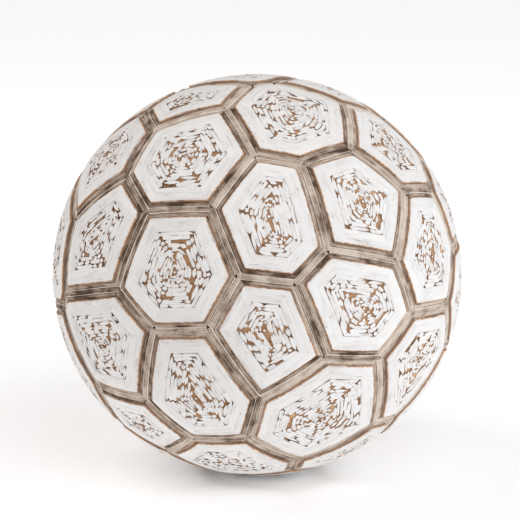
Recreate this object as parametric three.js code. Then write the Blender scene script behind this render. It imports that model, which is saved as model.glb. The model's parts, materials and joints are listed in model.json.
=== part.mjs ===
// Decorative wooden ball. Whitewashed panels, mostly five- and six-sided, lie on a wooden ball in
// an irregular tiling, and a raised slat runs along the groove between every two panels.
// Millimetres, +Z up, origin under the middle of the flat spot that the ball stands on.
import * as THREE from 'three';
import { mergeVertices } from 'three/addons/utils/BufferGeometryUtils.js';

// ---- Driving dimensions, in mm ----
const ballWidth = 300; // across the crowns of the panels, level
const ballHeight = 294; // pole to pole, before the flat spot is cut
const footWidth = 40; // flat spot under the lowest panel
const grooveWidth = 12.5; // from the edge of one panel to the edge of the next
const grooveDepth = 2.7; // floor of the groove, below the crowns
const slatWidth = 5;
const slatDrop = 1.1; // top of a slat, below the crowns
const clearance = 0.35; // kept between a piece and the ball under it
const panelRounding = [ // steps over a panel's edge: how far in, and how far below the crowns
  { inset: 0, drop: 1.6 },
  { inset: 0.7, drop: 0.6 },
  { inset: 2.2, drop: 0.1 },
];
const stepsPerSide = 2; // straight steps along one side of a panel
const domeShare = 0.5; // where the ring on a panel's dome lies, from its middle to its edge

const radius = ballWidth / 2;
const floorRadius = radius - grooveDepth;
const footSlope = Math.asin(footWidth / ballWidth); // angle at the middle of the ball
const footLevel = radius * Math.cos(footSlope);

// ---- Layout of the panels ----
// Middles of the panels on the shown side, in whole degrees: how far round the ball from the
// front towards +X, how far up, and the extra room that the panel takes from its neighbours,
// in hundredths of the radius.
const shownPanels = [
  // round the top
  { round: -63, up: 64, room: -4 },
  { round: 24, up: 58, room: -2 },
  { round: 101, up: 70, room: -5 },
  // upper row, left to right
  { round: -111, up: 50, room: 0 },
  { round: -74, up: 36, room: 1 },
  { round: -30, up: 42, room: -1 },
  { round: 8, up: 25, room: 0 },
  { round: 33, up: 27, room: 1 },
  { round: 59, up: 42, room: -2 },
  // middle row
  { round: -87, up: 13, room: 3 },
  { round: -52, up: 17, room: 1 },
  { round: -25, up: 11, room: 1 },
  { round: 4, up: -4, room: 0 },
  { round: 27, up: 5, room: 1 },
  { round: 55, up: 15, room: 0 },
  { round: 89, up: 16, room: 0 },
  { round: 89, up: -1, room: 2 },
  // lower row
  { round: -81, up: -26, room: 2 },
  { round: -45, up: -12, room: 2 },
  { round: -22, up: -19, room: 1 },
  { round: 22, up: -27, room: 0 },
  { round: 52, up: -18, room: -1 },
  // round the bottom
  { round: -45, up: -33, room: -1 },
  { round: -19, up: -55, room: -3 },
  { round: 48, up: -51, room: -5 },
];
const footPanel = { round: 0, up: -90, room: 0 }; // the panel with the flat spot
const hiddenCount = 20; // further panels, spread evenly over the rest of the ball
const spreadSteps = 300;
const spreadPace = 0.004;

function direction(round, up) {
  const turn = THREE.MathUtils.degToRad(round);
  const rise = THREE.MathUtils.degToRad(up);
  const level = Math.cos(rise);
  return new THREE.Vector3(level * Math.sin(turn), -level * Math.cos(turn), Math.sin(rise));
}

// Points on an even spiral over the whole ball, the ones farthest from the fixed middles first.
function openPlaces(fixed, count) {
  const goldenAngle = Math.PI * (3 - Math.sqrt(5));
  const spots = [];
  const total = fixed.length + count;
  for (let i = 0; i < total; i += 1) {
    const up = Math.asin(1 - (2 * i + 1) / total);
    spots.push(direction(THREE.MathUtils.radToDeg(i * goldenAngle), THREE.MathUtils.radToDeg(up)));
  }
  const nearest = (spot) => Math.max(...fixed.map((middle) => middle.dot(spot)));
  spots.sort((a, b) => nearest(a) - nearest(b));
  return spots.slice(0, count);
}

// The free middles push away from every other middle until they lie evenly.
function spreadOut(free, fixed) {
  for (let step = 0; step < spreadSteps; step += 1) {
    const moves = free.map((spot) => {
      const push = new THREE.Vector3();
      for (const other of [...free, ...fixed]) {
        const away = spot.clone().sub(other);
        const distance = away.length();
        if (distance > 0) {
          push.addScaledVector(away, 1 / distance ** 4);
        }
      }
      return push;
    });
    free.forEach((spot, i) => {
      const pace = Math.min(spreadPace, 0.1 / moves[i].length());
      spot.addScaledVector(moves[i], pace).normalize();
    });
  }
}

function layOutPanels() {
  const panels = [...shownPanels, footPanel].map(({ round, up, room }) => ({
    middle: direction(round, up),
    room: room / 100,
  }));
  const fixed = panels.map((panel) => panel.middle);
  const free = openPlaces(fixed, hiddenCount);
  spreadOut(free, fixed);
  free.forEach((middle) => panels.push({ middle, room: 0 }));
  return panels;
}

// The two unit directions x with a . x = p and b . x = q.
function meetings(a, b, p, q) {
  const normal = a.clone().cross(b);
  const size = normal.lengthSq();
  const base = b.clone().cross(normal).multiplyScalar(p / size);
  base.addScaledVector(normal.clone().cross(a), q / size);
  const reach = Math.sqrt((1 - base.lengthSq()) / size);
  return [
    base.clone().addScaledVector(normal, reach),
    base.clone().addScaledVector(normal, -reach),
  ];
}

// Grooves meet where three panels are equally near and no other panel is nearer.
function findJunctions(panels) {
  const nearness = (panel, spot) => panel.middle.dot(spot) + panel.room;
  const junctions = [];
  const count = panels.length;
  for (let i = 0; i < count; i += 1) {
    for (let j = i + 1; j < count; j += 1) {
      for (let k = j + 1; k < count; k += 1) {
        const a = panels[j].middle.clone().sub(panels[i].middle);
        const b = panels[k].middle.clone().sub(panels[i].middle);
        const p = panels[i].room - panels[j].room;
        const q = panels[i].room - panels[k].room;
        for (const spot of meetings(a, b, p, q)) {
          const best = nearness(panels[i], spot) + 1e-9;
          if (panels.every((panel) => nearness(panel, spot) <= best)) {
            junctions.push({ spot, owners: [i, j, k] });
          }
        }
      }
    }
  }
  return junctions;
}

// A panel's junctions, anticlockwise as seen from outside.
function goRound(middle, junctions) {
  const side = new THREE.Vector3(0.3, 0.5, 0.8).cross(middle).normalize();
  const front = middle.clone().cross(side);
  const bearing = ({ spot }) => Math.atan2(spot.dot(front), spot.dot(side));
  return [...junctions].sort((a, b) => bearing(a) - bearing(b));
}

function middleOf(junctions) {
  const sum = new THREE.Vector3();
  junctions.forEach(({ spot }) => sum.add(spot));
  return sum.normalize();
}

// For each side of a panel, the normal of the plane through it and the middle of the ball.
function sideNormals(panel) {
  return panel.junctions.map(({ spot }, i) => {
    const next = panel.junctions[(i + 1) % panel.junctions.length];
    return spot.clone().cross(next.spot).normalize();
  });
}

// Points round a panel, `inset` mm inside the middle line of the grooves.
function rim(panel, inset) {
  const normals = sideNormals(panel);
  const count = normals.length;
  const shift = Math.sin(inset / radius);
  const corners = panel.junctions.map(({ spot }, i) => {
    const before = normals[(i + count - 1) % count];
    const [first, second] = meetings(before, normals[i], shift, shift);
    return first.dot(spot) > second.dot(spot) ? first : second;
  });
  const points = [];
  corners.forEach((corner, i) => {
    for (let step = 0; step < stepsPerSide; step += 1) {
      const share = step / stepsPerSide;
      points.push(corner.clone().lerp(corners[(i + 1) % count], share).normalize());
    }
  });
  return points;
}

// ---- Surfaces ----
class Surface {
  constructor() {
    this.positions = [];
  }

  triangle(a, b, c) {
    for (const point of [a, b, c]) {
      this.positions.push(point.x, point.y, Math.max(point.z, -footLevel));
    }
  }

  // Joins two rings of equally many points. The second one lies above or inside the first.
  band(lower, upper) {
    lower.forEach((start, i) => {
      const next = (i + 1) % lower.length;
      this.triangle(start, lower[next], upper[next]);
      this.triangle(start, upper[next], upper[i]);
    });
  }

  fan(ring, tip) {
    ring.forEach((start, i) => this.triangle(start, ring[(i + 1) % ring.length], tip));
  }

  geometry() {
    const soup = new THREE.BufferGeometry();
    soup.setAttribute('position', new THREE.Float32BufferAttribute(this.positions, 3));
    const merged = mergeVertices(soup, 1e-3);
    merged.computeVertexNormals();
    return merged;
  }
}

const raise = (directions, size) => directions.map((way) => way.clone().multiplyScalar(size));

// The edge of a panel's underside. It lies just above the ball's facets, on the lines from the
// crown to the points round the panel, so both have the same creases.
function undersideRing(panel, inset) {
  const normals = sideNormals(panel);
  const tip = panel.crown.clone().multiplyScalar(floorRadius);
  return raise(rim(panel, 0), floorRadius).map((point, i) => {
    const side = Math.floor(i / stepsPerSide);
    const sides = [normals[side]];
    if (i % stepsPerSide === 0) {
      sides.push(normals[(side + normals.length - 1) % normals.length]);
    }
    const shares = sides.map((normal) => inset / normal.dot(tip));
    point.lerp(tip, Math.max(...shares));
    return point.setLength(point.length() + clearance);
  });
}

// ---- Pieces ----
// The wooden ball, whose surface is the floor of the grooves.
function ballGeometry(panels) {
  const surface = new Surface();
  for (const panel of panels) {
    surface.fan(raise(rim(panel, 0), floorRadius), panel.crown.clone().multiplyScalar(floorRadius));
  }
  return surface.geometry();
}

// A ring on the dome. Under the foot it is the edge of the flat spot.
function domeRing(panel, edge) {
  const { crown } = panel;
  return edge.map((way) => {
    const slope = panel.isFoot ? footSlope : way.angleTo(crown) * domeShare;
    const level = way.clone().addScaledVector(crown, -way.dot(crown)).normalize();
    return crown.clone().multiplyScalar(Math.cos(slope)).addScaledVector(level, Math.sin(slope));
  });
}

// A domed plate with rounded edges, lying on the facets of the ball.
function panelGeometry(panel) {
  const surface = new Surface();
  const outline = rim(panel, grooveWidth / 2);
  const under = undersideRing(panel, grooveWidth / 2);
  const rings = panelRounding.map(({ inset, drop }) => (
    raise(rim(panel, grooveWidth / 2 + inset), radius - drop)
  ));
  const dome = raise(domeRing(panel, outline), radius);
  const stack = [under, ...rings, dome];
  for (let i = 1; i < stack.length; i += 1) {
    surface.band(stack[i - 1], stack[i]);
  }
  surface.fan(dome, panel.crown.clone().multiplyScalar(radius));
  surface.fan([...under].reverse(), panel.crown.clone().multiplyScalar(floorRadius + clearance));
  return surface.geometry();
}

// The slats of all grooves, joined where they meet.
function slatGeometry(panels, junctions) {
  const surface = new Surface();
  const top = radius - slatDrop;
  const underside = floorRadius + clearance;
  const edges = panels.map((panel) => rim(panel, slatWidth / 2));
  panels.forEach((panel, i) => {
    surface.band(raise(edges[i], top), raise(edges[i], underside));
    panel.junctions.forEach((junction, side) => {
      const next = panel.junctions[(side + 1) % panel.junctions.length];
      const across = junction.owners.find((owner) => owner !== i && next.owners.includes(owner));
      if (across > i) {
        const otherSide = panels[across].junctions.indexOf(next);
        const near = sidePoints(edges[i], side);
        const far = sidePoints(edges[across], otherSide).reverse();
        for (let step = 0; step < stepsPerSide; step += 1) {
          const patch = [near[step], far[step], far[step + 1], near[step + 1]];
          addPatch(surface, patch, top, underside);
        }
      }
    });
  });
  for (const junction of junctions) {
    const corners = junction.owners.map((owner) => {
      const corner = panels[owner].junctions.indexOf(junction);
      return edges[owner][corner * stepsPerSide];
    });
    const [a, b, c] = corners;
    const turnsLeft = a.clone().cross(b).dot(c) > 0;
    addPatch(surface, turnsLeft ? [a, b, c] : [a, c, b], top, underside);
  }
  return surface.geometry();
}

function sidePoints(edge, side) {
  const points = [];
  for (let step = 0; step <= stepsPerSide; step += 1) {
    points.push(edge[(side * stepsPerSide + step) % edge.length]);
  }
  return points;
}

// The upper and lower faces of a stretch of slat, given anticlockwise as seen from outside.
function addPatch(surface, corners, top, underside) {
  const upper = raise(corners, top);
  const lower = raise(corners, underside);
  for (let i = 2; i < corners.length; i += 1) {
    surface.triangle(upper[0], upper[i - 1], upper[i]);
    surface.triangle(lower[0], lower[i], lower[i - 1]);
  }
}

// ---- Materials ----
const whitewash = new THREE.MeshStandardMaterial({ color: '#e6e3de', roughness: 0.75, metalness: 0 });
const slatWood = new THREE.MeshStandardMaterial({ color: '#9c8b7c', roughness: 0.8, metalness: 0 });
const groundWood = new THREE.MeshStandardMaterial({ color: '#80705f', roughness: 0.85, metalness: 0 });

// ---- Assembly ----
const panels = layOutPanels();
const junctions = findJunctions(panels);
panels.forEach((panel, i) => {
  const own = junctions.filter((junction) => junction.owners.includes(i));
  panel.junctions = goRound(panel.middle, own);
  panel.isFoot = panel.middle.z < -0.999;
  panel.crown = panel.isFoot ? panel.middle : middleOf(own);
});

const ball = new THREE.Group();
ball.scale.z = ballHeight / ballWidth;
ball.position.z = footLevel * ball.scale.z;

function addPiece(name, geometry, material) {
  const mesh = new THREE.Mesh(geometry, material);
  mesh.name = name;
  ball.add(mesh);
}

addPiece('wooden_ball', ballGeometry(panels), groundWood);
addPiece('groove_slats', slatGeometry(panels, junctions), slatWood);
panels.forEach((panel, i) => {
  const name = panel.isFoot ? 'panel_foot' : `panel_${String(i + 1).padStart(2, '0')}`;
  addPiece(name, panelGeometry(panel), whitewash);
});

const decorativeBall = new THREE.Group();
decorativeBall.add(ball);
export default decorativeBall;
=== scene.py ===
# %% [markdown]
# # A ball of whitewashed wood panels
# The real ball is covered by hand. Domed panels lie on a wooden ball like the plates of a
# tortoise: each one has a frame of white border strips, and inside the frame hundreds of white
# wood chips are laid in rings round a twig end. Between the panels run grooves of weathered
# wood, with a slat standing up in the middle.
#
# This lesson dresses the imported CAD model, piece by piece. First it loads the model, which
# fixes every size and place.

import json
import math
import random

import bmesh
import bpy
import numpy as np
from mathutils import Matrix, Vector, noise

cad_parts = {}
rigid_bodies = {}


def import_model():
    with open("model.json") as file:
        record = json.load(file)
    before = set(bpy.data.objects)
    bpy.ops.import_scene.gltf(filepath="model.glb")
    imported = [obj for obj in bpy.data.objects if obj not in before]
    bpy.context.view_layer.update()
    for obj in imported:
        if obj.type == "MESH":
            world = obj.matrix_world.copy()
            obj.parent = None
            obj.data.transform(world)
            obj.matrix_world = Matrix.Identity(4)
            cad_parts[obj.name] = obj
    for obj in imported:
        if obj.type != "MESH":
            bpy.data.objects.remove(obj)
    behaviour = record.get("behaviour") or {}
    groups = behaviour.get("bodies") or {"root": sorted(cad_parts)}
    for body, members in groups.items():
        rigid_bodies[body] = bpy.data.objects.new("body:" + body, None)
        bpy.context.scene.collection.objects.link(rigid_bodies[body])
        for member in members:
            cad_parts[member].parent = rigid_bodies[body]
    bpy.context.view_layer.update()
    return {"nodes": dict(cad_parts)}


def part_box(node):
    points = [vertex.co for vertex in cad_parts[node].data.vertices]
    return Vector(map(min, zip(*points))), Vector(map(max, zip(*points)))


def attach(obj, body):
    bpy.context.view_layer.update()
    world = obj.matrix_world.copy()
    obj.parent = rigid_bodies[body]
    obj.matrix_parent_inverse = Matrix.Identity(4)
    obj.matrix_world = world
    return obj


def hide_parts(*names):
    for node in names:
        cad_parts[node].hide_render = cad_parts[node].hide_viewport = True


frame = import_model()

# %% [markdown]
# ## The sizes
# All sizes are in metres. The first four are driving sizes of the CAD model. The others belong
# to the finer carpentry that only the scene shows: the border strips, the chips and the profile
# of the groove.

# %% Sizes of the ball
MM = 0.001
ball_width = 300 * MM
ball_height = 294 * MM
foot_width = 40 * MM
groove_width = 12.5 * MM
slat_width = 4.4 * MM
slat_height = 1.8 * MM
slat_drop = 0.85 * MM
border_width = 10.1 * MM
widest_row = 2.8 * MM
narrowest_row = 1.2 * MM
twig_width = 3.2 * MM
ground_drop = 0.8 * MM
underside_drop = 2.85 * MM  # of a panel
ball_drop = 3.2 * MM  # of the ball, hidden below the panels

ball_radius = ball_width / 2
squash = ball_height / ball_width
foot_level = math.sqrt(ball_radius**2 - (foot_width / 2) ** 2) * squash
print("middle of the ball stands", round(foot_level / MM, 1), "mm above the floor")

# %% [markdown]
# ## Reading the tiling from the CAD ball
# The facets of the CAD ball meet in three kinds of points, and the number of facets at a point
# tells them apart: four in the middle of a groove, six where three grooves meet, and ten or
# more at the crown of a panel. So the whole tiling can be read from that one mesh, and nothing
# is measured twice.

# %% Find crowns, junctions and grooves
def to_direction(point):
    """The direction from the middle of the ball, with the squash taken out."""
    x, y, z = point
    return np.array(Vector((x, y, (z - foot_level) / squash)).normalized())


def read_tiling():
    facets = bmesh.new()
    facets.from_mesh(frame["nodes"]["wooden_ball"].data)
    bmesh.ops.remove_doubles(facets, verts=facets.verts, dist=0.01 * MM)
    kinds = {vert: len(vert.link_faces) for vert in facets.verts}

    def junctions(vert):
        others = [edge.other_vert(vert) for edge in vert.link_edges]
        return [to_direction(other.co) for other in others if kinds[other] == 6]

    panels = []
    for vert in (vert for vert in facets.verts if kinds[vert] >= 10):
        crown = to_direction(vert.co)
        corners = go_round(crown, junctions(vert))
        ahead = np.roll(corners, -1, axis=0)
        panels.append({"crown": crown, "corners": corners,
                       "normals": unit(np.cross(corners, ahead)), "ways": unit(ahead - corners)})
    grooves = [junctions(vert) for vert in facets.verts if kinds[vert] == 4]
    facets.free()
    return panels, grooves


def unit(vectors):
    return vectors / np.linalg.norm(vectors, axis=-1, keepdims=True)


def side_ways(crown):
    """Two directions along the surface at the crown, at right angles to each other."""
    first = np.cross([0.3, 0.5, 0.8], crown)
    first /= np.linalg.norm(first)
    return first, np.cross(crown, first)


def go_round(crown, directions):
    """The directions in order round the crown, anticlockwise from outside."""
    first, second = side_ways(crown)
    return np.array(sorted(directions, key=lambda way: math.atan2(way @ second, way @ first)))


def name_panels(panels):
    """Gives each panel the name of the CAD node that covers it."""
    for name in frame["nodes"]:
        if name.startswith("panel_"):
            low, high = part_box(name)
            middle = to_direction((low + high) / 2)
            nearest = max(panels, key=lambda panel: panel["crown"] @ middle)
            nearest["name"] = name
    panels.sort(key=lambda panel: panel["name"])


panels, grooves = read_tiling()
name_panels(panels)
print(len(panels), "panels,", len(grooves), "grooves")

# %% [markdown]
# ## Going round a panel
# Nearly everything on a panel runs parallel to its sides: the rounded edge, the border strips
# and the frame of the groove. One function gives the ring of points at any distance inside the
# middle lines of the grooves. The corner of such a ring lies where two planes meet the ball, and
# it can be rounded with a small curve.

# %% Rings round a panel
side_steps = 10
corner_steps = 2
columns = 2 * corner_steps + side_steps


def meeting(a, b, share, near):
    """The unit direction x with a.x = b.x = share that is nearest to another one."""
    normal = np.cross(a, b)
    size = normal @ normal
    base = (np.cross(b, normal) + np.cross(normal, a)) * share / size
    reach = math.sqrt(max(0.0, 1 - base @ base) / size)
    first, second = base + normal * reach, base - normal * reach
    return first if first @ near > second @ near else second


def sides_left(panel, inset):
    """The sides that are still there at this inset, and the corner where each one starts."""
    normals, ways = panel["normals"], panel["ways"]
    share = math.sin(inset / ball_radius)
    left = list(range(len(normals)))
    while True:
        spots = np.array([
            meeting(normals[left[i - 1]], normals[left[i]], share, panel["crown"])
            for i in range(len(left))
        ])
        lengths = np.sum((np.roll(spots, -1, axis=0) - spots) * ways[left], axis=1)
        if lengths.min() > 0 or len(left) == 3:
            return left, spots
        left.pop(int(lengths.argmin()))


def ring(panel, inset, fillet=0.0):
    """Directions round a panel, side by side. A side that has gone keeps a single spot."""
    left, spots = sides_left(panel, inset)
    onward = np.roll(spots, -1, axis=0) - spots
    lengths = np.linalg.norm(onward, axis=1, keepdims=True) * ball_radius
    cuts = onward * np.minimum(fillet / lengths, 0.4)
    points = []
    for side in range(len(panel["normals"])):
        i = next((i for i, kept in enumerate(left) if kept >= side), 0)
        spot, after = spots[i], (i + 1) % len(left)

        def corner(t, at=spot, back=cuts[i - 1], forth=cuts[i]):
            return at - back * (1 - t) ** 2 + forth * t**2

        if left[i] != side:
            points.extend([corner(0.5)] * columns)
            continue
        points.extend(corner(0.5 + 0.5 * step / corner_steps) for step in range(corner_steps))
        start, end = spot + cuts[i], spots[after] - cuts[i]
        points.extend(start + (end - start) * step / side_steps for step in range(side_steps + 1))
        points.extend(
            corner(0.5 * step / corner_steps, spots[after], cuts[i], cuts[after])
            for step in range(1, corner_steps)
        )
    return unit(np.array(points))


def onto_ball(directions, drop):
    """World places in these directions, `drop` below the crowns. The foot is cut flat."""
    places = directions * (ball_radius - np.asarray(drop))[..., None]
    places[..., 2] = np.maximum(places[..., 2] * squash + foot_level, 0.0)
    return places


print(columns, "points on each side of a ring")

# %% [markdown]
# ## A skin with a grain
# Wood looks like wood because its streaks follow each strip. So every face carries four
# numbers that the materials read: how far along its strip it lies, how far across, a number of
# its own for the strip, and how well it is painted. They are kept for each corner of a face,
# because at a mitre two strips share an edge but not a grain.

# %% Collect faces with their grain
grain_names = ("along", "across", "strip", "painted")
full_coat = 1.6  # painted so well that no dash of bare wood shows
plain_grain = (0.0, 0.0, 0.5, 0.0)  # of faces whose material has no grain


def put(mesh, name, kind, values, domain="POINT"):
    """Keeps a value for each point or corner, under a name that trees and materials read."""
    field = "vector" if kind == "FLOAT_VECTOR" else "value"
    mesh.attributes.new(name, kind, domain).data.foreach_set(field, np.asarray(values).ravel())


class Skin:
    """Points and faces of one piece, with grain values for each corner of each face."""

    def __init__(self):
        self.points = []
        self.faces = []
        self.grain = []
        self.finish = []
        self.count = 0

    def add_points(self, places):
        first = self.count
        self.points.append(np.asarray(places, float))
        self.count += len(places)
        return first

    def add_face(self, corners, grain, finish=0):
        self.faces.append(tuple(corners))
        self.grain.extend(grain)
        self.finish.append(finish)

    def add_fan(self, start, total, tip, finish=0, inside=False):
        """Closes a ring of points with faces that all meet at the tip."""
        tip = self.add_points(tip)
        for column in range(total):
            pair = [start + column, start + (column + 1) % total]
            corners = (pair[::-1] if inside else pair) + [tip]
            self.add_face(corners, [plain_grain] * 3, finish)

    def mesh(self, name, materials):
        """Joins points that coincide, drops faces that have shrunk to nothing."""
        places = np.concatenate(self.points)
        keys = np.round(places / (0.01 * MM)).astype(int)
        _, first, joined = np.unique(keys, axis=0, return_index=True, return_inverse=True)
        joined = joined.ravel()
        faces, values, finishes, start = [], [], [], 0
        for face, finish in zip(self.faces, self.finish):
            corners = [(int(joined[at]), self.grain[start + i]) for i, at in enumerate(face)]
            start += len(face)
            kept = [pair for i, pair in enumerate(corners) if pair[0] != corners[i - 1][0]]
            if len(kept) > 2:
                faces.append([at for at, _ in kept])
                values.extend(grain for _, grain in kept)
                finishes.append(finish)
        mesh = bpy.data.meshes.new(name)
        mesh.from_pydata(places[first].tolist(), [], faces)
        for material in materials:
            mesh.materials.append(material)
        mesh.polygons.foreach_set("material_index", finishes)
        for grain_name, column in zip(grain_names, np.array(values).T):
            put(mesh, grain_name, "FLOAT", column, "CORNER")
        mesh.shade_smooth()
        return mesh


def strip_number(*parts):
    """A number between 0 and 1 that is always the same for the same strip."""
    return random.Random(repr(parts)).random()


def add_bands(skin, panel, levels, strip_name):
    """Faces between rings. A level is (inset, drop, corner rounding), from outside inwards."""
    ways = panel["ways"]
    total = len(ways) * columns
    starts, directions = [], []
    for inset, drop, fillet in levels:
        around = ring(panel, inset, fillet)
        directions.append(around)
        starts.append(skin.add_points(onto_ball(around, uneven(around, drop))))
    for level in range(len(levels) - 1):
        across = [inset - groove_width / 2 for inset, _, _ in levels[level:level + 2]]
        for column in range(total):
            side = column // columns
            number = strip_number(panel["name"], side, strip_name)
            after = (column + 1) % total
            corner_list = [(level, column), (level, after), (level + 1, after), (level + 1, column)]
            grain = []
            for row, place in corner_list:
                along = directions[row][place] @ ways[side] * ball_radius
                grain.append((along, across[row - level], number, full_coat))
            skin.add_face([starts[row] + place for row, place in corner_list], grain)
    return starts


def uneven(directions, drop):
    """Hand work is never quite even: the drop wanders by about a tenth of a millimetre."""
    ways = [Vector(way) for way in directions]
    wander = [noise.noise(way * 28) + 0.5 * noise.noise(way * 90) for way in ways]
    return drop + 0.12 * MM * np.array(wander)


# %% [markdown]
# ## Shader maths as plain expressions
# A material is easier to read as arithmetic than as a drawing of nodes. A small class wraps a
# socket, so that `1 - mask * 0.4` adds its own Math nodes. A second one stands for the whole
# tree, and one method of it adds every node. Both build the Geometry Nodes trees too.

# %% The wire and the graph
def sum_node(operation, turned=False):
    """A method that joins a wire and another value with one Math node."""
    def join(self, other):
        return self.maths(operation, *((other, self) if turned else (self, other)))
    return join


class Wire:
    """The output of a node, which can be used in sums."""

    __add__ = __radd__ = sum_node("ADD")
    __sub__ = sum_node("SUBTRACT")
    __rsub__ = sum_node("SUBTRACT", turned=True)
    __mul__ = __rmul__ = sum_node("MULTIPLY")
    smaller = sum_node("MINIMUM")
    larger = sum_node("MAXIMUM")

    def __init__(self, graph, node, socket):
        self.graph = graph
        self.node = node
        self.socket = socket

    def out(self, name):
        return Wire(self.graph, self.node, self.graph.find(self.node.outputs, name))

    def maths(self, operation, *values):
        return self.graph.node("ShaderNodeMath", {"operation": operation}, dict(enumerate(values)))

    def size(self):
        return self.maths("ABSOLUTE", self)

    def rise(self, low, high):
        """0 below low, 1 above high, and a smooth step between them."""
        settings = {"interpolation_type": "SMOOTHSTEP"}
        values = {"Value": self, "From Min": low, "From Max": high}
        return self.graph.node("ShaderNodeMapRange", settings, values)


class Graph:
    """A shader or geometry tree that is being written."""

    def __init__(self, tree):
        self.tree = tree

    @staticmethod
    def find(sockets, name):
        if isinstance(name, int):
            return sockets[name]
        return next(socket for socket in sockets if socket.name == name and socket.enabled)

    def node(self, kind, settings=None, values=None, out=None):
        node = self.tree.nodes.new(kind)
        for name, value in (settings or {}).items():
            if name == "stops":
                self.set_stops(node.color_ramp, value)
            else:
                setattr(node, name, value)
        for name, value in (values or {}).items():
            socket = self.find(node.inputs, name)
            if isinstance(value, Wire):
                self.tree.links.new(value.socket, socket)
            else:
                socket.default_value = value
        enabled = [socket for socket in node.outputs if socket.enabled]
        first = self.find(node.outputs, out) if out else (enabled[0] if enabled else None)
        return Wire(self, node, first)

    @staticmethod
    def set_stops(ramp, stops):
        while len(ramp.elements) < len(stops):
            ramp.elements.new(0.5)
        for element, (position, colour) in zip(ramp.elements, stops):
            element.position = position
            element.color = colour

    def vector(self, x, y, z):
        return self.node("ShaderNodeCombineXYZ", None, {0: x, 1: y, 2: z})

    def number(self, name):
        return self.node("ShaderNodeAttribute", {"attribute_name": name}, None, "Fac")

    def place(self):
        """Where a point of the surface lies, from the middle of the flat spot."""
        return self.node("ShaderNodeTexCoord", None, None, "Object")

    def part(self, vector, axis):
        return self.node("ShaderNodeSeparateXYZ", None, {0: vector}, axis)

    def noise(self, place, scale, detail=3.0, roughness=0.55):
        values = {"Vector": place, "Scale": scale, "Detail": detail, "Roughness": roughness}
        return self.node("ShaderNodeTexNoise", None, values, "Fac")

    def streaks(self, along, across, shift, spread, detail, roughness=0.55):
        """Noise drawn out along the strips, each of which shows another stretch of it."""
        strip = self.number("strip")
        x = self.number("along") * along + strip * shift
        place = self.vector(x, self.number("across") * across, strip * spread)
        return self.noise(place, 1.0, detail, roughness)

    def ramp(self, value, steps, colours):
        stops = list(zip(steps, map(as_colour, colours)))
        return self.node("ShaderNodeValToRGB", {"stops": stops}, {"Fac": value})

    def blend(self, share, low, high):
        """A colour between two others."""
        values = {"Factor": share, "A": as_colour(low), "B": as_colour(high)}
        return self.node("ShaderNodeMix", {"data_type": "RGBA"}, values)


def as_colour(value):
    """Makes red, green and blue from 0 to 255 linear. A wire stays as it is."""
    if isinstance(value, Wire):
        return value
    shares = [part / 255 for part in value]
    linear = [s / 12.92 if s <= 0.04045 else ((s + 0.055) / 1.055) ** 2.4 for s in shares]
    return (*linear, 1)


def new_material(name):
    material = bpy.data.materials.new(name)
    material.use_nodes = True
    material.node_tree.nodes.clear()
    return material, Graph(material.node_tree)


def finish_material(graph, colour, roughness, height, depth, specular=0.35):
    """Joins colour, roughness and a bump from `height` into the surface."""
    bump = graph.node("ShaderNodeBump", None, {"Strength": 1.0, "Distance": depth, "Height": height})
    values = {"Base Color": colour, "Roughness": roughness, "Normal": bump}
    surface = graph.node("ShaderNodeBsdfPrincipled", None, values)
    surface.node.inputs["Specular IOR Level"].default_value = specular
    graph.node("ShaderNodeOutputMaterial", None, {"Surface": surface})


# %% [markdown]
# ## The whitewash
# White paint was brushed on thin. It leaves fine grey streaks along each strip and hair-thin
# scratches where brown wood shows. Near the outer edge of the panel the wood tints it in
# patches, and the edge itself is rubbed down to an orange-brown line with dark spots. The sides
# of a chip were never painted, and dashes along its edges and a few nicks are bare too.

# %% Whitewash material
def make_whitewash():
    material, graph = new_material("whitewash")
    place, across = graph.place(), graph.number("across")
    fine = graph.streaks(70, 800, 91, 37, 4.0, 0.6)
    broad = graph.streaks(60, 260, 53, 19, 3.0)
    patches = graph.noise(place, 60.0, 2.0)
    # brushed paint
    tone = graph.blend(graph.number("strip"), (237, 235, 233), (245, 244, 242))
    streaks = fine.rise(0.50, 0.74) * patches.rise(0.40, 0.62)
    colour = graph.blend(streaks * 0.7, tone, (190, 185, 181))
    colour = graph.blend(broad.rise(0.50, 0.72) * 0.45, colour, (206, 203, 201))
    scratches = fine.rise(0.66, 0.72) * patches.rise(0.54, 0.62)
    colour = graph.blend(scratches * 0.6, colour, (140, 108, 84))
    thin = patches.rise(0.50, 0.66) * (1 - across.rise(0.0, 3.5 * MM))
    colour = graph.blend(thin * 0.35, colour, (216, 190, 166))
    # the rubbed edge of the panel
    rub = graph.noise(place, 420.0, 3.0, 0.6)
    worn = 1 - (across + (rub - 0.5) * (1.0 * MM)).rise(0.02 * MM, 0.2 * MM)
    worn = worn * (1 - broad.rise(0.56, 0.64) * 0.4)
    rubbed = graph.blend(rub.rise(0.40, 0.60), (162, 108, 58), (228, 172, 112))
    rubbed = graph.blend(patches.rise(0.44, 0.56) * 0.5, rubbed, (112, 80, 54))
    rubbed = graph.blend(across.rise(-0.68 * MM, -0.5 * MM), (158, 118, 84), rubbed)
    spots = graph.noise(place, 190.0, 2.0).rise(0.62, 0.66)
    rubbed = graph.blend(spots * 0.8, rubbed, (78, 48, 28))
    colour = graph.blend(worn * 0.88, colour, rubbed)
    # bare sides of the chips, dashes along their edges, and nicks
    dashes = graph.streaks(230, 60, 57, 31, 2.0)
    bare = 1 - (graph.number("painted") + (dashes - 0.40) * 3.0).rise(0.72, 0.85)
    nicks = rub.rise(0.66, 0.70) * patches.rise(0.52, 0.58)
    colour = graph.blend((bare + nicks * 0.7).smaller(1.0) * 0.92, colour, (156, 117, 84))
    height = fine * 0.6 + broad * 0.4
    finish_material(graph, colour, 0.62 + streaks * 0.2, height, 0.12 * MM)
    return material


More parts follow.
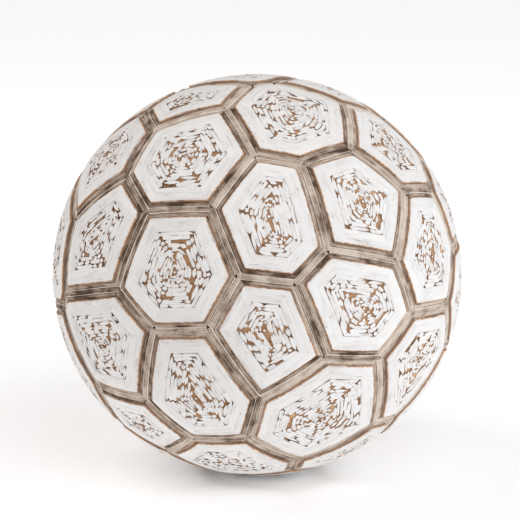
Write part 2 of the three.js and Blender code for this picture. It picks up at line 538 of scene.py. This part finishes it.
# %% [markdown]
# ## Bare and weathered wood
# Three more finishes are all bare wood. Under the chips lies warm brown ground, clouded from
# dark to tan. The grooves are driftwood grey: long streaks from dark brown to pale beige. The
# frame beside a slat is the same wood, with blotches of painted shade towards the panel, and
# the slot below the slat is painted dark as shade. All of it gets slowly paler towards the
# side of the ball where the right lamp stands, which is painted light.

# %% Ground and groove materials
# painted light: the wood gets paler per metre towards +X, where the right lamp stands
painted_light_to_side = 0.8  # per metre towards +X
wood_steps = (0.10, 0.32, 0.50, 0.68, 0.90)


def make_ground():
    material, graph = new_material("bare_ground")
    cloud = graph.noise(graph.place(), 160.0, 4.0, 0.65)
    fibre = graph.noise(graph.place(), 900.0, 2.0)
    # painted light: the ground gets paler towards +X, the side of the right lamp
    shade = cloud + (fibre - 0.5) * 0.25 + graph.part(graph.place(), "X") * painted_light_to_side + 0.02
    browns = [(122, 88, 62), (172, 133, 99), (190, 150, 114), (226, 190, 152)]
    colour = graph.ramp(shade, (0.30, 0.45, 0.60, 0.72), browns)
    finish_material(graph, colour, 0.8, fibre, 0.2 * MM, 0.2)
    return material


def make_driftwood(name, colours, contrast):
    """Weathered grey-brown wood, and the measures that its edges need."""
    material, graph = new_material(name)
    place, across, strip = graph.place(), graph.number("across"), graph.number("strip")
    fine = graph.streaks(110, 1900, 71, 43, 4.0, 0.6)
    broad = graph.streaks(60, 500, 37, 11, 3.0, 0.6)
    saw = graph.streaks(1300, 90, 0, 29, 1.0)
    blotch = graph.noise(place, 70.0, 3.0)
    value = (broad - 0.5) * 1.3 + (fine - 0.5) * 0.9 + (blotch - 0.5) * 1.6 + (strip - 0.5) * 0.5
    value = value + (saw - 0.5) * strip.rise(0.45, 0.75) * 0.5
    # painted light: the wood gets paler towards +X, the side of the right lamp
    value = value + graph.part(place, "X") * painted_light_to_side
    colour = graph.ramp(value * contrast + 0.5, wood_steps, colours)
    pits = graph.node("ShaderNodeTexVoronoi", None, {"Vector": place, "Scale": 210.0}, "Distance")
    pin = (1 - pits.rise(0.05, 0.09)) * blotch.rise(0.50, 0.56)
    colour = graph.blend(pin * 0.8, colour, (62, 42, 30))
    return material, graph, colour, across, fine, broad, blotch, pin


def make_slat_wood():
    """Driftwood with a light line on both top edges, brighter in places: wear and painted highlight.
    """
    greys = [(80, 62, 50), (140, 120, 105), (172, 153, 138), (190, 173, 158), (216, 203, 190)]
    material, graph, colour, across, fine, broad, blotch, pin = make_driftwood("slat_oak", greys, 1.0)
    # partly worn wood, partly painted highlight: a light line along both edges of the slat's top
    arris_wear_and_highlight = across.size().rise(slat_width * 0.38, slat_width * 0.42)
    colour = graph.blend(arris_wear_and_highlight * (0.5 + blotch.rise(0.38, 0.52) * 0.5), colour, (246, 234, 221))
    finish_material(graph, colour, 0.78, fine + broad - pin, 0.2 * MM, 0.25)
    return material


def make_frame_wood():
    """Driftwood darkened towards the panels and in the slot below the slat, both painted shade."""
    greys = [(82, 63, 49), (150, 128, 111), (184, 163, 146), (204, 185, 168), (224, 208, 193)]
    material, graph, colour, across, fine, broad, blotch, pin = make_driftwood("frame_oak", greys, 1.1)
    # painted shade: blotches that darken the frame towards the panel wall
    panel_shade = across.rise(-3.3 * MM, -1.2 * MM) * (broad + blotch).rise(0.96, 1.16)
    colour = graph.blend(panel_shade * 0.7, colour, (80, 56, 38))
    # painted shade: the slot below the slat, seen through the holes where slats meet, is near black
    slot = 1 - across.rise(-3.8 * MM, -3.55 * MM)
    colour = graph.blend(slot, colour, (56, 40, 30))
    finish_material(graph, colour, 0.8, fine + broad - pin, 0.22 * MM, 0.25)
    return material


whitewash = make_whitewash()
bare_ground = make_ground()
slat_oak = make_slat_wood()
frame_oak = make_frame_wood()
print("materials:", [material.name for material in bpy.data.materials])

# %% [markdown]
# ## The wooden ball in the grooves
# Only a narrow strip of the ball shows on each side of a slat. There the real one has a thin
# frame round every panel, mitred at the corners, with a dark joint to the slat and another one
# to the panel. The skin closes over the whole ball, so the groove has no open edge anywhere.
# Here the dark of the joint to the slat is a slot painted with shade.

# %% Dress the ball
def frame_levels():
    """(inset, drop, corner rounding): the slot below the slat, the frame and the last joint."""
    low, top = 2.9 * MM, 1.45 * MM
    profile = [(0.0, low), (2.3, low), (2.5, top + 0.25 * MM), (2.7, top), (5.2, top),
               (5.5, top + 0.1 * MM), (6.0, low), (8.0, low)]
    return [(inset * MM, drop, 0.0) for inset, drop in profile]


def dress_ball():
    skin = Skin()
    for panel in panels:
        starts = add_bands(skin, panel, frame_levels(), "frame")
        total = len(panel["corners"]) * columns
        skin.add_fan(starts[-1], total, onto_ball(panel["crown"][None], ball_drop))
    return skin.mesh("ball_grooves", [frame_oak])


def add_object(name, data):
    thing = bpy.data.objects.new(name, data)
    bpy.context.scene.collection.objects.link(thing)
    return thing


ball_skin = add_object("ball_grooves", dress_ball())
print("ball faces:", len(ball_skin.data.polygons))

# %% [markdown]
# ## Panels: frame, ground and seats for the chips
# A panel starts as a skin: the wall that rises from the groove, the rounded rim, two border
# strips on each side with a fine joint between them, and the sunken ground inside. Loose points
# on the same mesh say where a chip goes. Each of these seats knows which way the chip lies, and
# how long and wide it is.
#
# The seats are laid out flat, on the plane that touches the ball at the crown. There the sides
# of the panel are straight lines, and a strip at any distance from a side is cut off where it
# meets the strips of its neighbours, like the logs of a cabin.

# %% Border strips and ground
border_profile = [  # mm in from the panel's edge, mm below the crowns, mm of corner rounding
    (-0.7, 2.8, 1.6), (-0.7, 1.1, 1.6), (-0.6, 0.5, 1.6), (-0.35, 0.2, 1.5), (0.3, 0.06, 1.3),
    (1.5, 0.01, 1.0), (5.1, 0.0, 0.5), (5.3, 0.05, 0.5), (5.5, 0.0, 0.5), (9.8, 0.02, 0.2),
    (10.1, 0.14, 0.1), (10.1, 1.5, 0.1),
]
outer_levels = 8  # up to the joint between the two strips
bare = 1  # the second material of a panel


def border_levels():
    edge = groove_width / 2
    return [(edge + inset * MM, drop * MM, fillet * MM) for inset, drop, fillet in border_profile]


def add_panel_skin(skin, panel):
    levels = border_levels()
    outer = add_bands(skin, panel, levels[:outer_levels], "outer")
    inner = add_bands(skin, panel, levels[outer_levels - 1:], "inner")
    total = len(panel["corners"]) * columns
    crown = panel["crown"][None]
    skin.add_fan(outer[0], total, onto_ball(crown, underside_drop), bare, inside=True)
    rim = ring(panel, groove_width / 2 + border_width, 0.1 * MM)
    rows = [inner[-1]]
    for share in (0.66, 0.33):
        inward = unit(rim * share + crown * (1 - share))
        rows.append(skin.add_points(onto_ball(inward, uneven(inward, ground_drop))))
    for low, high in zip(rows, rows[1:]):
        for column in range(total):
            after = (column + 1) % total
            corners = [low + column, low + after, high + after, high + column]
            skin.add_face(corners, [plain_grain] * 4, bare)
    skin.add_fan(rows[-1], total, onto_ball(crown, ground_drop), bare)


# %% Seats for the chips
shape_sets = 4  # shapes for each pair of blunt or pointed ends
twig_kind = 4 * shape_sets
chip_lengths = (1.8, 5.0)  # in widths of the row
shortest_rest = 1.2  # in widths too: a shorter rest is joined to the chip before it
chip_turn = math.radians(2.8)
missing_share = 0.025  # of the chips
blunt_overlap = 0.2  # mm
widest_star = 1.75  # mm between two pointed ends
full_width_from = 13 * MM  # from the middle of a panel: rows farther in are narrower
narrow_chip, wide_chip, wide_to_narrow = (0.76, 0.9), (1.0, 1.18), 6


def flatten(panel, directions):
    first, second = side_ways(panel["crown"])
    depth = directions @ panel["crown"]
    flat = np.stack([directions @ first, directions @ second], axis=-1)
    return flat / depth[:, None] * ball_radius


def unflatten(panel, flat):
    first, second = side_ways(panel["crown"])
    ways = np.outer(flat[:, 0], first) + np.outer(flat[:, 1], second)
    return unit(ways / ball_radius + panel["crown"])


def strip_line(outline, side, inset):
    """The stretch parallel to a side, `inset` inside it, up to where its neighbours cut it."""
    ahead = np.roll(outline, -1, axis=0)
    ways = unit(ahead - outline)
    inward = np.stack([-ways[:, 1], ways[:, 0]], axis=1)
    start = outline[side] + inward[side] * inset
    low, high = -1.0, 1.0
    for other in range(len(outline)):
        if other != side:
            room = (start - outline[other]) @ inward[other] - inset
            slope = ways[side] @ inward[other]
            if slope > 1e-6:
                low = max(low, -room / slope)
            elif slope < -1e-6:
                high = min(high, -room / slope)
            elif room < 0:
                return None
    if high - low < 0.8 * MM:
        return None
    return start + ways[side] * low, ways[side], high - low


def row_corners(outline, inset):
    """The corners of the outline, moved in. Sides that have shrunk away are left out."""
    lines = [strip_line(outline, side, inset) for side in range(len(outline))]
    return np.array([line[0] for line in lines if line])


def rows_inwards(outline):
    """(inset, width) of each row of chips, and the middle. Rows get narrower on the way in."""
    room = 0.0
    while len(corners := row_corners(outline, room)) > 2:
        middle = corners.mean(axis=0)
        room += 0.25 * MM
    rows, inset = [], 0.2 * MM
    while inset < room - twig_width * 0.85:
        share = min(1.0, (room - inset) / full_width_from)
        width = narrowest_row + (widest_row - narrowest_row) * share
        rows.append((inset + width / 2, width))
        inset += width
    return rows, middle


def cut_corners(corners, cuts):
    """Swaps each corner for two points, so that a row turns there in two small steps."""
    ahead = np.roll(corners, -1, axis=0) - corners
    lengths = np.linalg.norm(ahead, axis=1)
    points = []
    for i, corner in enumerate(corners):
        cut = min(cuts[i % len(cuts)], 0.38 * lengths[i], 0.38 * lengths[i - 1])
        if cut < 0.6 * MM:
            points.append(corner)
        else:
            points.append(corner - ahead[i - 1] * cut / lengths[i - 1])
            points.append(corner + ahead[i] * cut / lengths[i])
    return np.array(points)


def lay_side(dice, start, end, width):
    """Chips in one straight line. Where two pointed ends meet, a star of ground shows."""
    length = np.linalg.norm(end - start)
    way = (end - start) / length
    left = np.array([-way[1], way[0]])
    at = dice.uniform(-0.35, 0.5) * width
    stop = length - dice.uniform(-0.35, 0.5) * width
    pointed = dice.random() < 0.5
    while stop - at > 0.7 * width:
        chip = min(dice.uniform(*chip_lengths) * width, stop - at)
        if stop - at - chip < shortest_rest * width:
            chip = stop - at
        next_pointed = dice.random() < 0.5
        stretch = 0.0 if pointed and next_pointed else 0.5 * MM
        turn = dice.gauss(0, chip_turn)
        turned = way * math.cos(turn) + left * math.sin(turn)
        sideways = left * dice.gauss(0, 0.06) * width
        kind = (2 * pointed + next_pointed) * shape_sets + dice.randrange(shape_sets)
        if dice.random() > missing_share:
            narrow, wide = dice.uniform(*narrow_chip), dice.uniform(*wide_chip)
            fat = width * dice.choice((narrow,) + (wide,) * wide_to_narrow)
            yield start + way * (at + chip / 2) + sideways, turned, chip + stretch, fat, kind
        gap = dice.uniform(-blunt_overlap, widest_star) if next_pointed else -blunt_overlap
        at += chip + gap * MM
        pointed = next_pointed


def lay_chips(panel):
    """Seats as (flat place, flat way, length, width, kind of chip), and one for the twig end."""
    dice = random.Random(panel["name"])
    outline = flatten(panel, sides_left(panel, groove_width / 2 + border_width)[1])
    rows, middle = rows_inwards(outline)
    first_cut = [dice.uniform(-2.5, 1.2) * MM for _ in outline]
    slope = [dice.uniform(0.05, 0.55) for _ in outline]
    seats = []
    for inset, width in rows:
        corners = row_corners(outline, inset)
        if len(corners) > 2:
            cuts = [start + steep * inset for start, steep in zip(first_cut, slope)]
            corners = cut_corners(corners, cuts)
            for start, end in zip(corners, np.roll(corners, -1, axis=0)):
                seats.extend(lay_side(dice, start, end, width))
    size = twig_width * dice.uniform(0.85, 1.15)
    seats.append((middle, np.array([1.0, 0.0]), size, size, twig_kind))
    return seats


def add_seats(mesh, panel):
    """Loose points on the mesh, each with the way, the upright and the size of its chip."""
    middles, ways, lengths, widths, kinds = (np.array(part) for part in zip(*lay_chips(panel)))
    directions, onward = unflatten(panel, middles), unflatten(panel, middles + ways * MM)
    depth = np.full(len(middles), ground_drop + 0.1 * MM)
    places = onto_ball(directions, depth)
    proud = np.random.default_rng(len(middles)).uniform(-0.22, 0.02, len(middles)) * MM
    skin_count = len(mesh.vertices)
    mesh.vertices.add(len(places))
    for vertex, place in zip(mesh.vertices[skin_count:], places):
        vertex.co = place

    def mark(name, kind, given):
        values = np.zeros((len(mesh.vertices), *given.shape[1:]), given.dtype)
        values[skin_count:] = given
        put(mesh, name, kind, values)

    mark("is_seat", "BOOLEAN", np.ones(len(places), bool))
    mark("seat_shape", "INT", kinds)
    mark("seat_along", "FLOAT_VECTOR", unit(onto_ball(onward, depth) - places + 1e-9))
    mark("seat_out", "FLOAT_VECTOR", unit(directions / np.array([1, 1, squash])))
    mark("seat_size", "FLOAT_VECTOR", np.stack([lengths, widths, depth + proud], axis=-1))


# %% [markdown]
# ## One tree lays all the chips
# Sixteen outlines, cut by seeded dice, are enough for thousands of chips, if each one is
# stretched, tilted and turned a little differently. A chip's ends are blunt or pointed. Where
# two points meet, the ground shows as a small brown star. The Geometry Nodes tree takes the
# seats of a panel, puts a chip on each and a twig end on the last one, makes them real, writes
# their grain and joins them to the skin. The modifier's result is then kept as a plain mesh.

# %% The chip shapes
def chip_end(dice, pointed):
    """Five points round the right-hand end of a chip, from its upper side to its lower one."""
    if pointed:
        taper, tip = dice.uniform(0.20, 0.38), dice.uniform(-0.4, 0.4)
        return [(0.5 - taper, 0.48), (0.5 - taper * 0.42, 0.25 + tip * 0.4), (0.5, tip),
                (0.5 - taper * 0.46, -0.23 + tip * 0.4), (0.5 - taper, -0.48)]
    upper, lower = dice.uniform(0.0, 0.10), dice.uniform(0.0, 0.10)
    return [(0.5 - upper - 0.03, 0.49), (0.5 - upper, 0.40), (0.5, 0.0),
            (0.5 - lower, -0.40), (0.5 - lower - 0.03, -0.49)]


def stack(name, outline, layers):
    """A closed piece from one outline. A layer is (size along, size across, height, paint)."""
    count = len(outline)
    points, paint = [], []
    for along, across, height, coat in layers:
        points.extend((x * along, y * across, height) for x, y in outline)
        paint.extend([coat] * count)
    top = (len(layers) - 1) * count
    faces = [tuple(reversed(range(count))), tuple(range(top, top + count))]
    for low in range(0, top, count):
        for i in range(count):
            after = (i + 1) % count
            faces.append((low + i, low + after, low + count + after, low + count + i))
    mesh = bpy.data.meshes.new(name)
    mesh.from_pydata(points, [], faces)
    put(mesh, "local", "FLOAT_VECTOR", points)
    put(mesh, "paint", "FLOAT", paint)
    return mesh


def chip_mesh(name, number):
    dice = random.Random(number + 40)
    left, right = divmod(number // shape_sets, 2)
    outline = chip_end(dice, right)
    outline.append((dice.uniform(-0.1, 0.1), -0.5 - dice.uniform(-0.05, 0.03)))
    outline += [(-x, -y) for x, y in chip_end(dice, left)]
    outline.append((dice.uniform(-0.1, 0.1), 0.5 + dice.uniform(-0.05, 0.03)))
    outline.reverse()
    return stack(name, outline, [(1, 1, 0, 0), (1, 1, 0.86, 0.5), (0.93, 0.8, 1, full_coat)])


def twig_mesh(name):
    """The end of a twig: a ring of bark round a pale heart."""
    turns = [2 * math.pi * step / 14 for step in range(14)]
    outline = [(0.5 * math.cos(turn), 0.46 * math.sin(turn)) for turn in turns]
    layers = [(1, 1, 0, -1), (1, 1, 0.95, -1), (0.88, 0.88, 1.05, -1), (0.62, 0.62, 1.0, -1),
              (0.56, 0.56, 0.9, 1), (0.2, 0.2, 0.95, 1)]
    return stack(name, outline, layers)


chip_shapes = bpy.data.collections.new("chip_shapes")
for number in range(twig_kind + 1):
    name = f"chip_{number:02d}"
    mesh = twig_mesh(name) if number == twig_kind else chip_mesh(name, number)
    chip_shapes.objects.link(bpy.data.objects.new(name, mesh))


# %% The chip tree
beyond_rim = 20 * MM  # added to a chip's `across`, so that the rim's wear stays off it


def new_tree(name, inputs):
    """A geometry tree with named inputs, given as (name, socket type, default)."""
    tree = bpy.data.node_groups.new(name, "GeometryNodeTree")
    tree.interface.new_socket("Geometry", in_out="OUTPUT", socket_type="NodeSocketGeometry")
    for title, kind, value in [("Geometry", "Geometry", None), *inputs]:
        socket = tree.interface.new_socket(title, in_out="INPUT", socket_type="NodeSocket" + kind)
        if value is not None:
            socket.default_value = value
    graph = Graph(tree)
    return graph, graph.node("NodeGroupInput")


def named(graph, name, kind="FLOAT"):
    return graph.node("GeometryNodeInputNamedAttribute", {"data_type": kind}, {"Name": name})


def store(graph, geometry, name, value, domain="CORNER"):
    settings = {"data_type": "FLOAT", "domain": domain}
    values = {"Geometry": geometry, "Name": name, "Value": value}
    return graph.node("GeometryNodeStoreNamedAttribute", settings, values)


def dice_value(graph, low, high, seed, kind="FLOAT"):
    values = {"Min": low, "Max": high, "Seed": seed}
    return graph.node("FunctionNodeRandomValue", {"data_type": kind}, values)


def chip_tree():
    inputs = [("Shapes", "Collection", None), ("Tilt", "Float", 0.03), ("Seed", "Int", 3),
              ("Finish", "Material", None)]
    graph, given = new_tree("lay_chips", inputs)
    geometry, tilt, seed = given.out("Geometry"), given.out("Tilt"), given.out("Seed")
    selection = named(graph, "is_seat", "BOOLEAN")
    parted = graph.node("GeometryNodeSeparateGeometry", {"domain": "POINT"},
                        {"Geometry": geometry, "Selection": selection})
    seats = graph.node("GeometryNodeMeshToPoints", None, {"Mesh": parted.out("Selection")})
    seats = store(graph, seats, "chip", dice_value(graph, 0.0, 1.0, seed), "POINT")
    axes = {"Primary Axis": named(graph, "seat_out", "FLOAT_VECTOR"),
            "Secondary Axis": named(graph, "seat_along", "FLOAT_VECTOR")}
    turned = graph.node("FunctionNodeAxesToRotation",
                        {"primary_axis": "Z", "secondary_axis": "X"}, axes)
    lean = dice_value(graph, (-1.0, -1.0, 0.0), (1.0, 1.0, 0.0), seed + 1, "FLOAT_VECTOR")
    lean = graph.node("ShaderNodeVectorMath", {"operation": "SCALE"}, {0: lean, "Scale": tilt})
    lean = graph.node("FunctionNodeEulerToRotation", None, {"Euler": lean})
    turned = graph.node("FunctionNodeRotateRotation", {"rotation_space": "LOCAL"},
                        {"Rotation": turned, "Rotate By": lean})
    shapes = graph.node("GeometryNodeCollectionInfo", None,
                        {"Collection": given.out("Shapes"), "Separate Children": True,
                         "Reset Children": True})
    pick = named(graph, "seat_shape", "INT")
    chips = graph.node("GeometryNodeInstanceOnPoints", None, {
        "Points": seats, "Instance": shapes, "Pick Instance": True, "Instance Index": pick,
        "Rotation": turned, "Scale": named(graph, "seat_size", "FLOAT_VECTOR")})
    chips = graph.node("GeometryNodeRealizeInstances", None, {"Geometry": chips})
    local = named(graph, "local", "FLOAT_VECTOR")
    size = named(graph, "seat_size", "FLOAT_VECTOR")
    along, across = (graph.part(local, axis) * graph.part(size, axis) for axis in "XY")
    chips = store(graph, chips, "along", along)
    chips = store(graph, chips, "across", across + beyond_rim)
    chips = store(graph, chips, "strip", named(graph, "chip"))
    chips = store(graph, chips, "painted", named(graph, "paint"))
    chips = graph.node("GeometryNodeSetShadeSmooth", None, {"Geometry": chips, "Shade Smooth": False})
    chips = graph.node("GeometryNodeSetMaterial", None,
                       {"Geometry": chips, "Material": given.out("Finish")})
    both = graph.node("GeometryNodeJoinGeometry", None, {"Geometry": parted.out("Inverted")})
    graph.tree.links.new(chips.socket, both.node.inputs["Geometry"])
    graph.node("NodeGroupOutput", None, {"Geometry": both})
    return graph.tree


def bake_tree(thing, tree, values):
    """Runs a tree on an object and keeps the result as its plain mesh."""
    modifier = thing.modifiers.new(tree.name, "NODES")
    modifier.node_group = tree
    for item in tree.interface.items_tree:
        if item.in_out == "INPUT" and item.name in values:
            modifier[item.identifier] = values[item.name]
    depsgraph = bpy.context.evaluated_depsgraph_get()
    result = bpy.data.meshes.new_from_object(thing.evaluated_get(depsgraph))
    thing.modifiers.remove(modifier)
    old = thing.data
    thing.data = result
    result.name = thing.name
    bpy.data.meshes.remove(old)


# %% Make every panel
def make_panel(panel, tree):
    skin = Skin()
    add_panel_skin(skin, panel)
    mesh = skin.mesh(panel["name"] + "_mosaic", [whitewash, bare_ground])
    add_seats(mesh, panel)
    thing = add_object(panel["name"] + "_mosaic", mesh)
    number = int(strip_number(panel["name"]) * 10000)
    bake_tree(thing, tree, {"Shapes": chip_shapes, "Seed": number, "Finish": whitewash})
    cut_foot(thing.data)
    return thing


def cut_foot(mesh):
    """Nothing reaches below the flat spot."""
    places = np.empty(len(mesh.vertices) * 3)
    mesh.vertices.foreach_get("co", places)
    places[2::3] = np.maximum(places[2::3], 0.0)
    mesh.vertices.foreach_set("co", places)
    mesh.update()


laying = chip_tree()
mosaics = [(make_panel(panel, laying), panel["name"]) for panel in panels]
print("mosaic faces:", sum(len(thing.data.polygons) for thing, name in mosaics))

# %% [markdown]
# ## The slats
# A slat is the same small bar in every groove, so a tree draws it: it turns a line along the
# middle of the groove into a curve, keeps the bar upright on the ball, and sweeps a section with
# softened edges along it. Where three slats meet, one runs through and the others butt against
# it, which leaves the small dark holes of real carpentry.
# The holes look dark partly from real shade and partly because the slot below is painted with shade.

# %% Lines for the slats
line_steps = 10
through_trim = -1.1 * MM  # the slat that runs through a corner reaches past its middle
butt_trims = (1.5, 1.95)  # mm that the others stop short


def slat_lines():
    """For each groove, a row of world points, shortened at both ends."""
    ends = {}
    for i, (start, finish) in enumerate(grooves):
        for which, spot in enumerate((start, finish)):
            ends.setdefault(tuple(np.round(spot, 3)), []).append((i, which))
    trims = {}
    for spot, meetings in ends.items():
        dice = random.Random(repr(spot))
        through = dice.randrange(len(meetings))
        for order, key in enumerate(meetings):
            trims[key] = through_trim if order == through else dice.uniform(*butt_trims) * MM
    lines = []
    for i, (start, finish) in enumerate(grooves):
        length = np.linalg.norm(finish - start) * ball_radius
        low, high = trims[(i, 0)] / length, 1 - trims[(i, 1)] / length
        shares = np.linspace(low, high, line_steps + 1)[:, None]
        lines.append(unit(start * (1 - shares) + finish * shares))
    return lines


def slat_path_mesh():
    points, edges, numbers = [], [], []
    for i, line in enumerate(slat_lines()):
        first = len(points)
        depth = slat_drop + slat_height / 2 + random.Random(i).uniform(-0.12, 0.12) * MM
        points.extend(onto_ball(line, np.full(len(line), depth)).tolist())
        edges.extend((first + step, first + step + 1) for step in range(line_steps))
        numbers.extend([strip_number("slat", i)] * len(line))
    mesh = bpy.data.meshes.new("slat_paths")
    mesh.from_pydata(points, edges, [])
    put(mesh, "strip", "FLOAT", numbers)
    return mesh


# %% The slat tree
def slat_tree():
    inputs = [("Width", "Float", slat_width), ("Height", "Float", slat_height),
              ("Softness", "Float", 0.35 * MM), ("Middle", "Vector", None),
              ("Finish", "Material", None)]
    graph, given = new_tree("sweep_slats", inputs)
    paths = graph.node("GeometryNodeMeshToCurve", None, {"Mesh": given.out("Geometry")})
    outward = graph.node("ShaderNodeVectorMath", {"operation": "SUBTRACT"},
                         {0: graph.node("GeometryNodeInputPosition"), 1: given.out("Middle")})
    outward = graph.node("ShaderNodeVectorMath", {"operation": "NORMALIZE"}, {0: outward})
    paths = graph.node("GeometryNodeSetCurveNormal", {"mode": "FREE"},
                       {"Curve": paths, "Normal": outward})
    length = graph.node("GeometryNodeSplineParameter", None, None, "Length")
    paths = store(graph, paths, "along", length, "POINT")
    section = graph.node("GeometryNodeCurvePrimitiveQuadrilateral", {"mode": "RECTANGLE"},
                         {"Width": given.out("Height"), "Height": given.out("Width")})
    section = graph.node("GeometryNodeFilletCurve", {"mode": "POLY"},
                         {"Curve": section, "Count": 2, "Radius": given.out("Softness")})
    across = graph.part(graph.node("GeometryNodeInputPosition"), "Y")
    section = store(graph, section, "across", across, "POINT")
    slats = graph.node("GeometryNodeCurveToMesh", None,
                       {"Curve": paths, "Profile Curve": section, "Fill Caps": True})
    slats = graph.node("GeometryNodeRealizeInstances", None, {"Geometry": slats})
    slats = graph.node("GeometryNodeSetMaterial", None,
                       {"Geometry": slats, "Material": given.out("Finish")})
    graph.node("NodeGroupOutput", None, {"Geometry": slats})
    return graph.tree


slats = add_object("groove_slats_swept", slat_path_mesh())
bake_tree(slats, slat_tree(), {"Middle": (0.0, 0.0, foot_level), "Finish": slat_oak})
low = min(vertex.co.z for vertex in slats.data.vertices)
print("slat faces:", len(slats.data.polygons), "lowest point:", round(low / MM, 2), "mm")

# %% [markdown]
# ## Tell the frame what each piece is
# Every piece rides on the one body of the ball and stands for its CAD node.

# %% Ride and replace
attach(ball_skin, "root")
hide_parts("wooden_ball")
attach(slats, "root")
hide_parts("groove_slats")
for thing, name in mosaics:
    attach(thing, "root")
    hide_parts(name)
for shape in list(chip_shapes.objects):
    bpy.data.objects.remove(shape)
bpy.data.collections.remove(chip_shapes)
print("pieces on the body:", len(mosaics) + 2)

# %% [markdown]
# ## Floor, light and camera
# The ball lies on a plain white floor under an even, slightly warm sky. Three wide lamps shape
# it: cool ones from the right and the front, and a weaker one high on the left. Light adds up,
# so a program could work out their strengths and tints from one render for each lamp. They were
# then rounded and adjusted. The floor glows a little, which keeps it white, but less so
# next to the ball, where the shadow lies. In front, out of view, it is greyer, and lights the
# underside of the ball less. The camera looks down slightly from far away, with a long lens.
# The glow is painted light, and where it fades next to the ball it paints part of the shadow.

# %% The floor
floor_reach = 30.0
grey_floor, white_floor = 0.60, 0.92
near_glow, far_glow = 0.295, 0.20


def make_floor():
    mesh = bpy.data.meshes.new("floor")
    corners = [(-1, -1, 0), (1, -1, 0), (1, 1, 0), (-1, 1, 0)]
    mesh.from_pydata([Vector(corner) * floor_reach for corner in corners], [], [(0, 1, 2, 3)])
    material, graph = new_material("white_floor")
    place = graph.place()
    reach = graph.node("ShaderNodeVectorMath", {"operation": "LENGTH"}, {0: place}, "Value")
    behind = graph.part(place, "Y").rise(-0.42, -0.17)
    white = behind.larger(reach.rise(0.8, 2.0))
    # painted light: the floor glows, and the glow fades next to the ball, painting part of its shadow
    glow = white * reach.rise(0.005, 0.085) * near_glow + reach.rise(0.15, 0.80) * far_glow
    glow = graph.vector(glow * 0.95, glow * 0.975, glow)
    base = white * (white_floor - grey_floor) + grey_floor
    values = {"Base Color": graph.vector(base, base, base), "Roughness": 0.9,
              "Emission Color": glow, "Emission Strength": 1.0}
    surface = graph.node("ShaderNodeBsdfPrincipled", None, values)
    graph.node("ShaderNodeOutputMaterial", None, {"Surface": surface})
    mesh.materials.append(material)
    floor = add_object("floor", mesh)


# %% The lights and the camera
def aim(thing, target):
    way = Vector(target) - thing.location
    thing.rotation_euler = way.to_track_quat("-Z", "Y").to_euler()


def add_light(name, place, size, power, colour):
    data = bpy.data.lights.new(name, "AREA")
    data.shape = "DISK"
    data.size = size
    data.energy = power
    data.color = colour
    light = add_object(name, data)
    light.location = place
    aim(light, (0, 0, ball_height / 2))


def make_world(strength, colour):
    world = bpy.data.worlds.new("studio")
    world.use_nodes = True
    sky = world.node_tree.nodes["Background"].inputs
    sky["Color"].default_value = (*colour, 1)
    sky["Strength"].default_value = strength
    bpy.context.scene.world = world


camera_rise = math.radians(12)
camera_distance = 12 * ball_radius
sensor_width = 36.0
ball_share = 0.787  # of the width of the view
off_centre = (-0.0054, -0.028)  # the ball sits a little left of the middle, and a little low


def make_camera():
    data = bpy.data.cameras.new("camera")
    half = math.tan(math.asin(ball_radius / camera_distance))
    data.sensor_width = sensor_width
    data.lens = sensor_width * ball_share / 2 / half
    data.clip_end = 100
    camera = add_object("camera", data)
    middle = Vector((0, 0, foot_level))
    back = Vector((0, -math.cos(camera_rise), math.sin(camera_rise)))
    camera.location = middle + back * camera_distance
    up = Vector((0, math.sin(camera_rise), math.cos(camera_rise)))
    view_width = sensor_width / data.lens * camera_distance
    aim(camera, middle - (Vector((1, 0, 0)) * off_centre[0] + up * off_centre[1]) * view_width)
    bpy.context.scene.camera = camera


make_floor()
make_world(0.484, (1, 0.94, 0.905))
add_light("right", (2.0, -0.9, 0.9), 1.6, 15.2, (0.862, 0.931, 1.0))
add_light("front", (0.6, -1.8, 1.7), 1.5, 14.0, (0.96, 0.975, 1.0))
add_light("left", (-1.3, 0.2, 2.0), 1.2, 10.0, (1.0, 1.0, 0.99))
make_camera()
bpy.context.scene.view_settings.view_transform = "Standard"
print("lens:", round(bpy.context.scene.camera.data.lens, 1), "mm")
